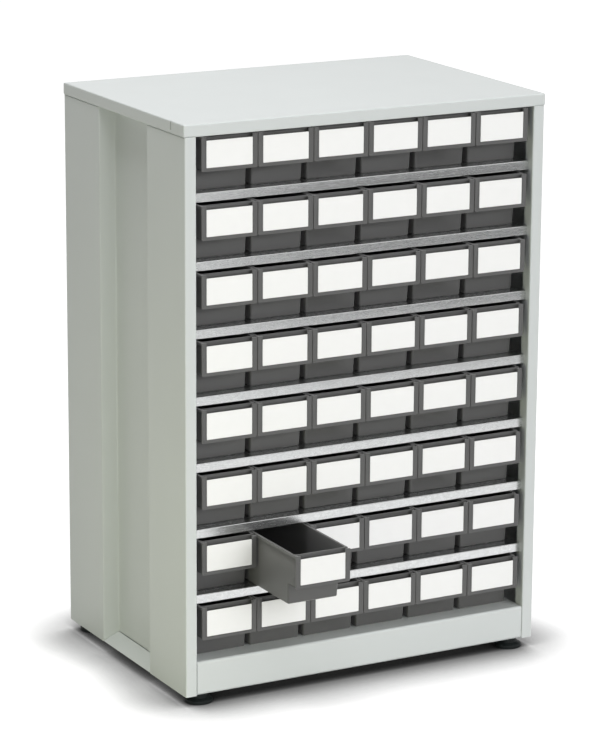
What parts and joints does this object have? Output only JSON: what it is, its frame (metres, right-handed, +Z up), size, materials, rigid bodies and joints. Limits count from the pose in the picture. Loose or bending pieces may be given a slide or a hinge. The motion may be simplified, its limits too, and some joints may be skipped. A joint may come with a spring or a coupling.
{
  "type": "parts organizer cabinet",
  "caption": "Free-standing painted sheet-steel cabinet with open plastic bins that slide out of galvanised shelves, each bin with a label card in a front frame, on levelling feet.",
  "frame": {"origin": "on the floor, under the centre of the whole object's box, the drawn bin included", "axes": "+Z up, -Y out of the cabinet's front, +X to the right as seen from the front"},
  "size_m": [0.605, 0.528, 0.873],
  "materials": {
    "painted_steel": "light grey powder coat, satin",
    "galvanised_steel": "galvanised sheet, fine spangle",
    "bin_plastic": "moulded, fine satin texture",
    "label_card": "white card",
    "foot_plastic": "black moulded plastic"
  },
  "bodies": {
    "cabinet": {"top_panel": "painted_steel", "left_side_panel": "painted_steel", "right_side_panel": "painted_steel", "back_panel": "painted_steel", "base_tray": "painted_steel", "shelves": "galvanised_steel", "shelf_clips": "galvanised_steel", "foot_nuts": "galvanised_steel"},
    "foot_front_left": {"foot_front_left": "foot_plastic"},
    "foot_front_right": {"foot_front_right": "foot_plastic"},
    "foot_rear_left": {"foot_rear_left": "foot_plastic"},
    "foot_rear_right": {"foot_rear_right": "foot_plastic"},
    "bin_r1_c1": {"bin_r1_c1": "bin_plastic"},
    "bin_r1_c2": {"bin_r1_c2": "bin_plastic"},
    "bin_r1_c3": {"bin_r1_c3": "bin_plastic"},
    "bin_r1_c4": {"bin_r1_c4": "bin_plastic"},
    "bin_r1_c5": {"bin_r1_c5": "bin_plastic"},
    "bin_r1_c6": {"bin_r1_c6": "bin_plastic"},
    "bin_r2_c1": {"bin_r2_c1": "bin_plastic"},
    "bin_r2_c2": {"bin_r2_c2": "bin_plastic"},
    "bin_r2_c3": {"bin_r2_c3": "bin_plastic"},
    "bin_r2_c4": {"bin_r2_c4": "bin_plastic"},
    "bin_r2_c5": {"bin_r2_c5": "bin_plastic"},
    "bin_r2_c6": {"bin_r2_c6": "bin_plastic"},
    "bin_r3_c1": {"bin_r3_c1": "bin_plastic"},
    "bin_r3_c2": {"bin_r3_c2": "bin_plastic"},
    "bin_r3_c3": {"bin_r3_c3": "bin_plastic"},
    "bin_r3_c4": {"bin_r3_c4": "bin_plastic"},
    "bin_r3_c5": {"bin_r3_c5": "bin_plastic"},
    "bin_r3_c6": {"bin_r3_c6": "bin_plastic"},
    "bin_r4_c1": {"bin_r4_c1": "bin_plastic"},
    "bin_r4_c2": {"bin_r4_c2": "bin_plastic"},
    "bin_r4_c3": {"bin_r4_c3": "bin_plastic"},
    "bin_r4_c4": {"bin_r4_c4": "bin_plastic"},
    "bin_r4_c5": {"bin_r4_c5": "bin_plastic"},
    "bin_r4_c6": {"bin_r4_c6": "bin_plastic"},
    "bin_r5_c1": {"bin_r5_c1": "bin_plastic"},
    "bin_r5_c2": {"bin_r5_c2": "bin_plastic"},
    "bin_r5_c3": {"bin_r5_c3": "bin_plastic"},
    "bin_r5_c4": {"bin_r5_c4": "bin_plastic"},
    "bin_r5_c5": {"bin_r5_c5": "bin_plastic"},
    "bin_r5_c6": {"bin_r5_c6": "bin_plastic"},
    "bin_r6_c1": {"bin_r6_c1": "bin_plastic"},
    "bin_r6_c2": {"bin_r6_c2": "bin_plastic"},
    "bin_r6_c3": {"bin_r6_c3": "bin_plastic"},
    "bin_r6_c4": {"bin_r6_c4": "bin_plastic"},
    "bin_r6_c5": {"bin_r6_c5": "bin_plastic"},
    "bin_r6_c6": {"bin_r6_c6": "bin_plastic"},
    "bin_r7_c1": {"bin_r7_c1": "bin_plastic"},
    "bin_r7_c2": {"bin_r7_c2": "bin_plastic"},
    "bin_r7_c3": {"bin_r7_c3": "bin_plastic"},
    "bin_r7_c4": {"bin_r7_c4": "bin_plastic"},
    "bin_r7_c5": {"bin_r7_c5": "bin_plastic"},
    "bin_r7_c6": {"bin_r7_c6": "bin_plastic"},
    "bin_r8_c1": {"bin_r8_c1": "bin_plastic"},
    "bin_r8_c2": {"bin_r8_c2": "bin_plastic"},
    "bin_r8_c3": {"bin_r8_c3": "bin_plastic"},
    "bin_r8_c4": {"bin_r8_c4": "bin_plastic"},
    "bin_r8_c5": {"bin_r8_c5": "bin_plastic"},
    "bin_r8_c6": {"bin_r8_c6": "bin_plastic"}
  },
  "joints": [
    {"name": "bin_r1_c1_slide", "type": "slide", "parent": "cabinet", "child": "bin_r1_c1", "axis": [0, -1, 0], "range_m": [0, 0.3]},
    {"name": "bin_r1_c2_slide", "type": "slide", "parent": "cabinet", "child": "bin_r1_c2", "axis": [0, -1, 0], "range_m": [0, 0.3]},
    {"name": "bin_r1_c3_slide", "type": "slide", "parent": "cabinet", "child": "bin_r1_c3", "axis": [0, -1, 0], "range_m": [0, 0.3]},
    {"name": "bin_r1_c4_slide", "type": "slide", "parent": "cabinet", "child": "bin_r1_c4", "axis": [0, -1, 0], "range_m": [0, 0.3]},
    {"name": "bin_r1_c5_slide", "type": "slide", "parent": "cabinet", "child": "bin_r1_c5", "axis": [0, -1, 0], "range_m": [0, 0.3]},
    {"name": "bin_r1_c6_slide", "type": "slide", "parent": "cabinet", "child": "bin_r1_c6", "axis": [0, -1, 0], "range_m": [0, 0.3]},
    {"name": "bin_r2_c1_slide", "type": "slide", "parent": "cabinet", "child": "bin_r2_c1", "axis": [0, -1, 0], "range_m": [0, 0.3]},
    {"name": "bin_r2_c2_slide", "type": "slide", "parent": "cabinet", "child": "bin_r2_c2", "axis": [0, -1, 0], "range_m": [0, 0.3]},
    {"name": "bin_r2_c3_slide", "type": "slide", "parent": "cabinet", "child": "bin_r2_c3", "axis": [0, -1, 0], "range_m": [0, 0.3]},
    {"name": "bin_r2_c4_slide", "type": "slide", "parent": "cabinet", "child": "bin_r2_c4", "axis": [0, -1, 0], "range_m": [0, 0.3]},
    {"name": "bin_r2_c5_slide", "type": "slide", "parent": "cabinet", "child": "bin_r2_c5", "axis": [0, -1, 0], "range_m": [0, 0.3]},
    {"name": "bin_r2_c6_slide", "type": "slide", "parent": "cabinet", "child": "bin_r2_c6", "axis": [0, -1, 0], "range_m": [0, 0.3]},
    {"name": "bin_r3_c1_slide", "type": "slide", "parent": "cabinet", "child": "bin_r3_c1", "axis": [0, -1, 0], "range_m": [0, 0.3]},
    {"name": "bin_r3_c2_slide", "type": "slide", "parent": "cabinet", "child": "bin_r3_c2", "axis": [0, -1, 0], "range_m": [0, 0.3]},
    {"name": "bin_r3_c3_slide", "type": "slide", "parent": "cabinet", "child": "bin_r3_c3", "axis": [0, -1, 0], "range_m": [0, 0.3]},
    {"name": "bin_r3_c4_slide", "type": "slide", "parent": "cabinet", "child": "bin_r3_c4", "axis": [0, -1, 0], "range_m": [0, 0.3]},
    {"name": "bin_r3_c5_slide", "type": "slide", "parent": "cabinet", "child": "bin_r3_c5", "axis": [0, -1, 0], "range_m": [0, 0.3]},
    {"name": "bin_r3_c6_slide", "type": "slide", "parent": "cabinet", "child": "bin_r3_c6", "axis": [0, -1, 0], "range_m": [0, 0.3]},
    {"name": "bin_r4_c1_slide", "type": "slide", "parent": "cabinet", "child": "bin_r4_c1", "axis": [0, -1, 0], "range_m": [0, 0.3]},
    {"name": "bin_r4_c2_slide", "type": "slide", "parent": "cabinet", "child": "bin_r4_c2", "axis": [0, -1, 0], "range_m": [0, 0.3]},
    {"name": "bin_r4_c3_slide", "type": "slide", "parent": "cabinet", "child": "bin_r4_c3", "axis": [0, -1, 0], "range_m": [0, 0.3]},
    {"name": "bin_r4_c4_slide", "type": "slide", "parent": "cabinet", "child": "bin_r4_c4", "axis": [0, -1, 0], "range_m": [0, 0.3]},
    {"name": "bin_r4_c5_slide", "type": "slide", "parent": "cabinet", "child": "bin_r4_c5", "axis": [0, -1, 0], "range_m": [0, 0.3]},
    {"name": "bin_r4_c6_slide", "type": "slide", "parent": "cabinet", "child": "bin_r4_c6", "axis": [0, -1, 0], "range_m": [0, 0.3]},
    {"name": "bin_r5_c1_slide", "type": "slide", "parent": "cabinet", "child": "bin_r5_c1", "axis": [0, -1, 0], "range_m": [0, 0.3]},
    {"name": "bin_r5_c2_slide", "type": "slide", "parent": "cabinet", "child": "bin_r5_c2", "axis": [0, -1, 0], "range_m": [0, 0.3]},
    {"name": "bin_r5_c3_slide", "type": "slide", "parent": "cabinet", "child": "bin_r5_c3", "axis": [0, -1, 0], "range_m": [0, 0.3]},
    {"name": "bin_r5_c4_slide", "type": "slide", "parent": "cabinet", "child": "bin_r5_c4", "axis": [0, -1, 0], "range_m": [0, 0.3]},
    {"name": "bin_r5_c5_slide", "type": "slide", "parent": "cabinet", "child": "bin_r5_c5", "axis": [0, -1, 0], "range_m": [0, 0.3]},
    {"name": "bin_r5_c6_slide", "type": "slide", "parent": "cabinet", "child": "bin_r5_c6", "axis": [0, -1, 0], "range_m": [0, 0.3]},
    {"name": "bin_r6_c1_slide", "type": "slide", "parent": "cabinet", "child": "bin_r6_c1", "axis": [0, -1, 0], "range_m": [0, 0.3]},
    {"name": "bin_r6_c2_slide", "type": "slide", "parent": "cabinet", "child": "bin_r6_c2", "axis": [0, -1, 0], "range_m": [0, 0.3]},
    {"name": "bin_r6_c3_slide", "type": "slide", "parent": "cabinet", "child": "bin_r6_c3", "axis": [0, -1, 0], "range_m": [0, 0.3]},
    {"name": "bin_r6_c4_slide", "type": "slide", "parent": "cabinet", "child": "bin_r6_c4", "axis": [0, -1, 0], "range_m": [0, 0.3]},
    {"name": "bin_r6_c5_slide", "type": "slide", "parent": "cabinet", "child": "bin_r6_c5", "axis": [0, -1, 0], "range_m": [0, 0.3]},
    {"name": "bin_r6_c6_slide", "type": "slide", "parent": "cabinet", "child": "bin_r6_c6", "axis": [0, -1, 0], "range_m": [0, 0.3]},
    {"name": "bin_r7_c1_slide", "type": "slide", "parent": "cabinet", "child": "bin_r7_c1", "axis": [0, -1, 0], "range_m": [0, 0.3]},
    {"name": "bin_r7_c2_slide", "type": "slide", "parent": "cabinet", "child": "bin_r7_c2", "axis": [0, -1, 0], "range_m": [-0.12, 0.18]},
    {"name": "bin_r7_c3_slide", "type": "slide", "parent": "cabinet", "child": "bin_r7_c3", "axis": [0, -1, 0], "range_m": [0, 0.3]},
    {"name": "bin_r7_c4_slide", "type": "slide", "parent": "cabinet", "child": "bin_r7_c4", "axis": [0, -1, 0], "range_m": [0, 0.3]},
    {"name": "bin_r7_c5_slide", "type": "slide", "parent": "cabinet", "child": "bin_r7_c5", "axis": [0, -1, 0], "range_m": [0, 0.3]},
    {"name": "bin_r7_c6_slide", "type": "slide", "parent": "cabinet", "child": "bin_r7_c6", "axis": [0, -1, 0], "range_m": [0, 0.3]},
    {"name": "bin_r8_c1_slide", "type": "slide", "parent": "cabinet", "child": "bin_r8_c1", "axis": [0, -1, 0], "range_m": [0, 0.3]},
    {"name": "bin_r8_c2_slide", "type": "slide", "parent": "cabinet", "child": "bin_r8_c2", "axis": [0, -1, 0], "range_m": [0, 0.3]},
    {"name": "bin_r8_c3_slide", "type": "slide", "parent": "cabinet", "child": "bin_r8_c3", "axis": [0, -1, 0], "range_m": [0, 0.3]},
    {"name": "bin_r8_c4_slide", "type": "slide", "parent": "cabinet", "child": "bin_r8_c4", "axis": [0, -1, 0], "range_m": [0, 0.3]},
    {"name": "bin_r8_c5_slide", "type": "slide", "parent": "cabinet", "child": "bin_r8_c5", "axis": [0, -1, 0], "range_m": [0, 0.3]},
    {"name": "bin_r8_c6_slide", "type": "slide", "parent": "cabinet", "child": "bin_r8_c6", "axis": [0, -1, 0], "range_m": [0, 0.3]},
    {"name": "foot_front_left_turn", "type": "hinge", "parent": "cabinet", "child": "foot_front_left", "pos_m": [-0.27, -0.125, 0], "axis": [0, 0, 1], "continuous": true},
    {"name": "foot_front_right_turn", "type": "hinge", "parent": "cabinet", "child": "foot_front_right", "pos_m": [0.27, -0.125, 0], "axis": [0, 0, 1], "continuous": true},
    {"name": "foot_rear_left_turn", "type": "hinge", "parent": "cabinet", "child": "foot_rear_left", "pos_m": [-0.27, 0.243, 0], "axis": [0, 0, 1], "continuous": true},
    {"name": "foot_rear_right_turn", "type": "hinge", "parent": "cabinet", "child": "foot_rear_right", "pos_m": [0.27, 0.243, 0], "axis": [0, 0, 1], "continuous": true}
  ]
}
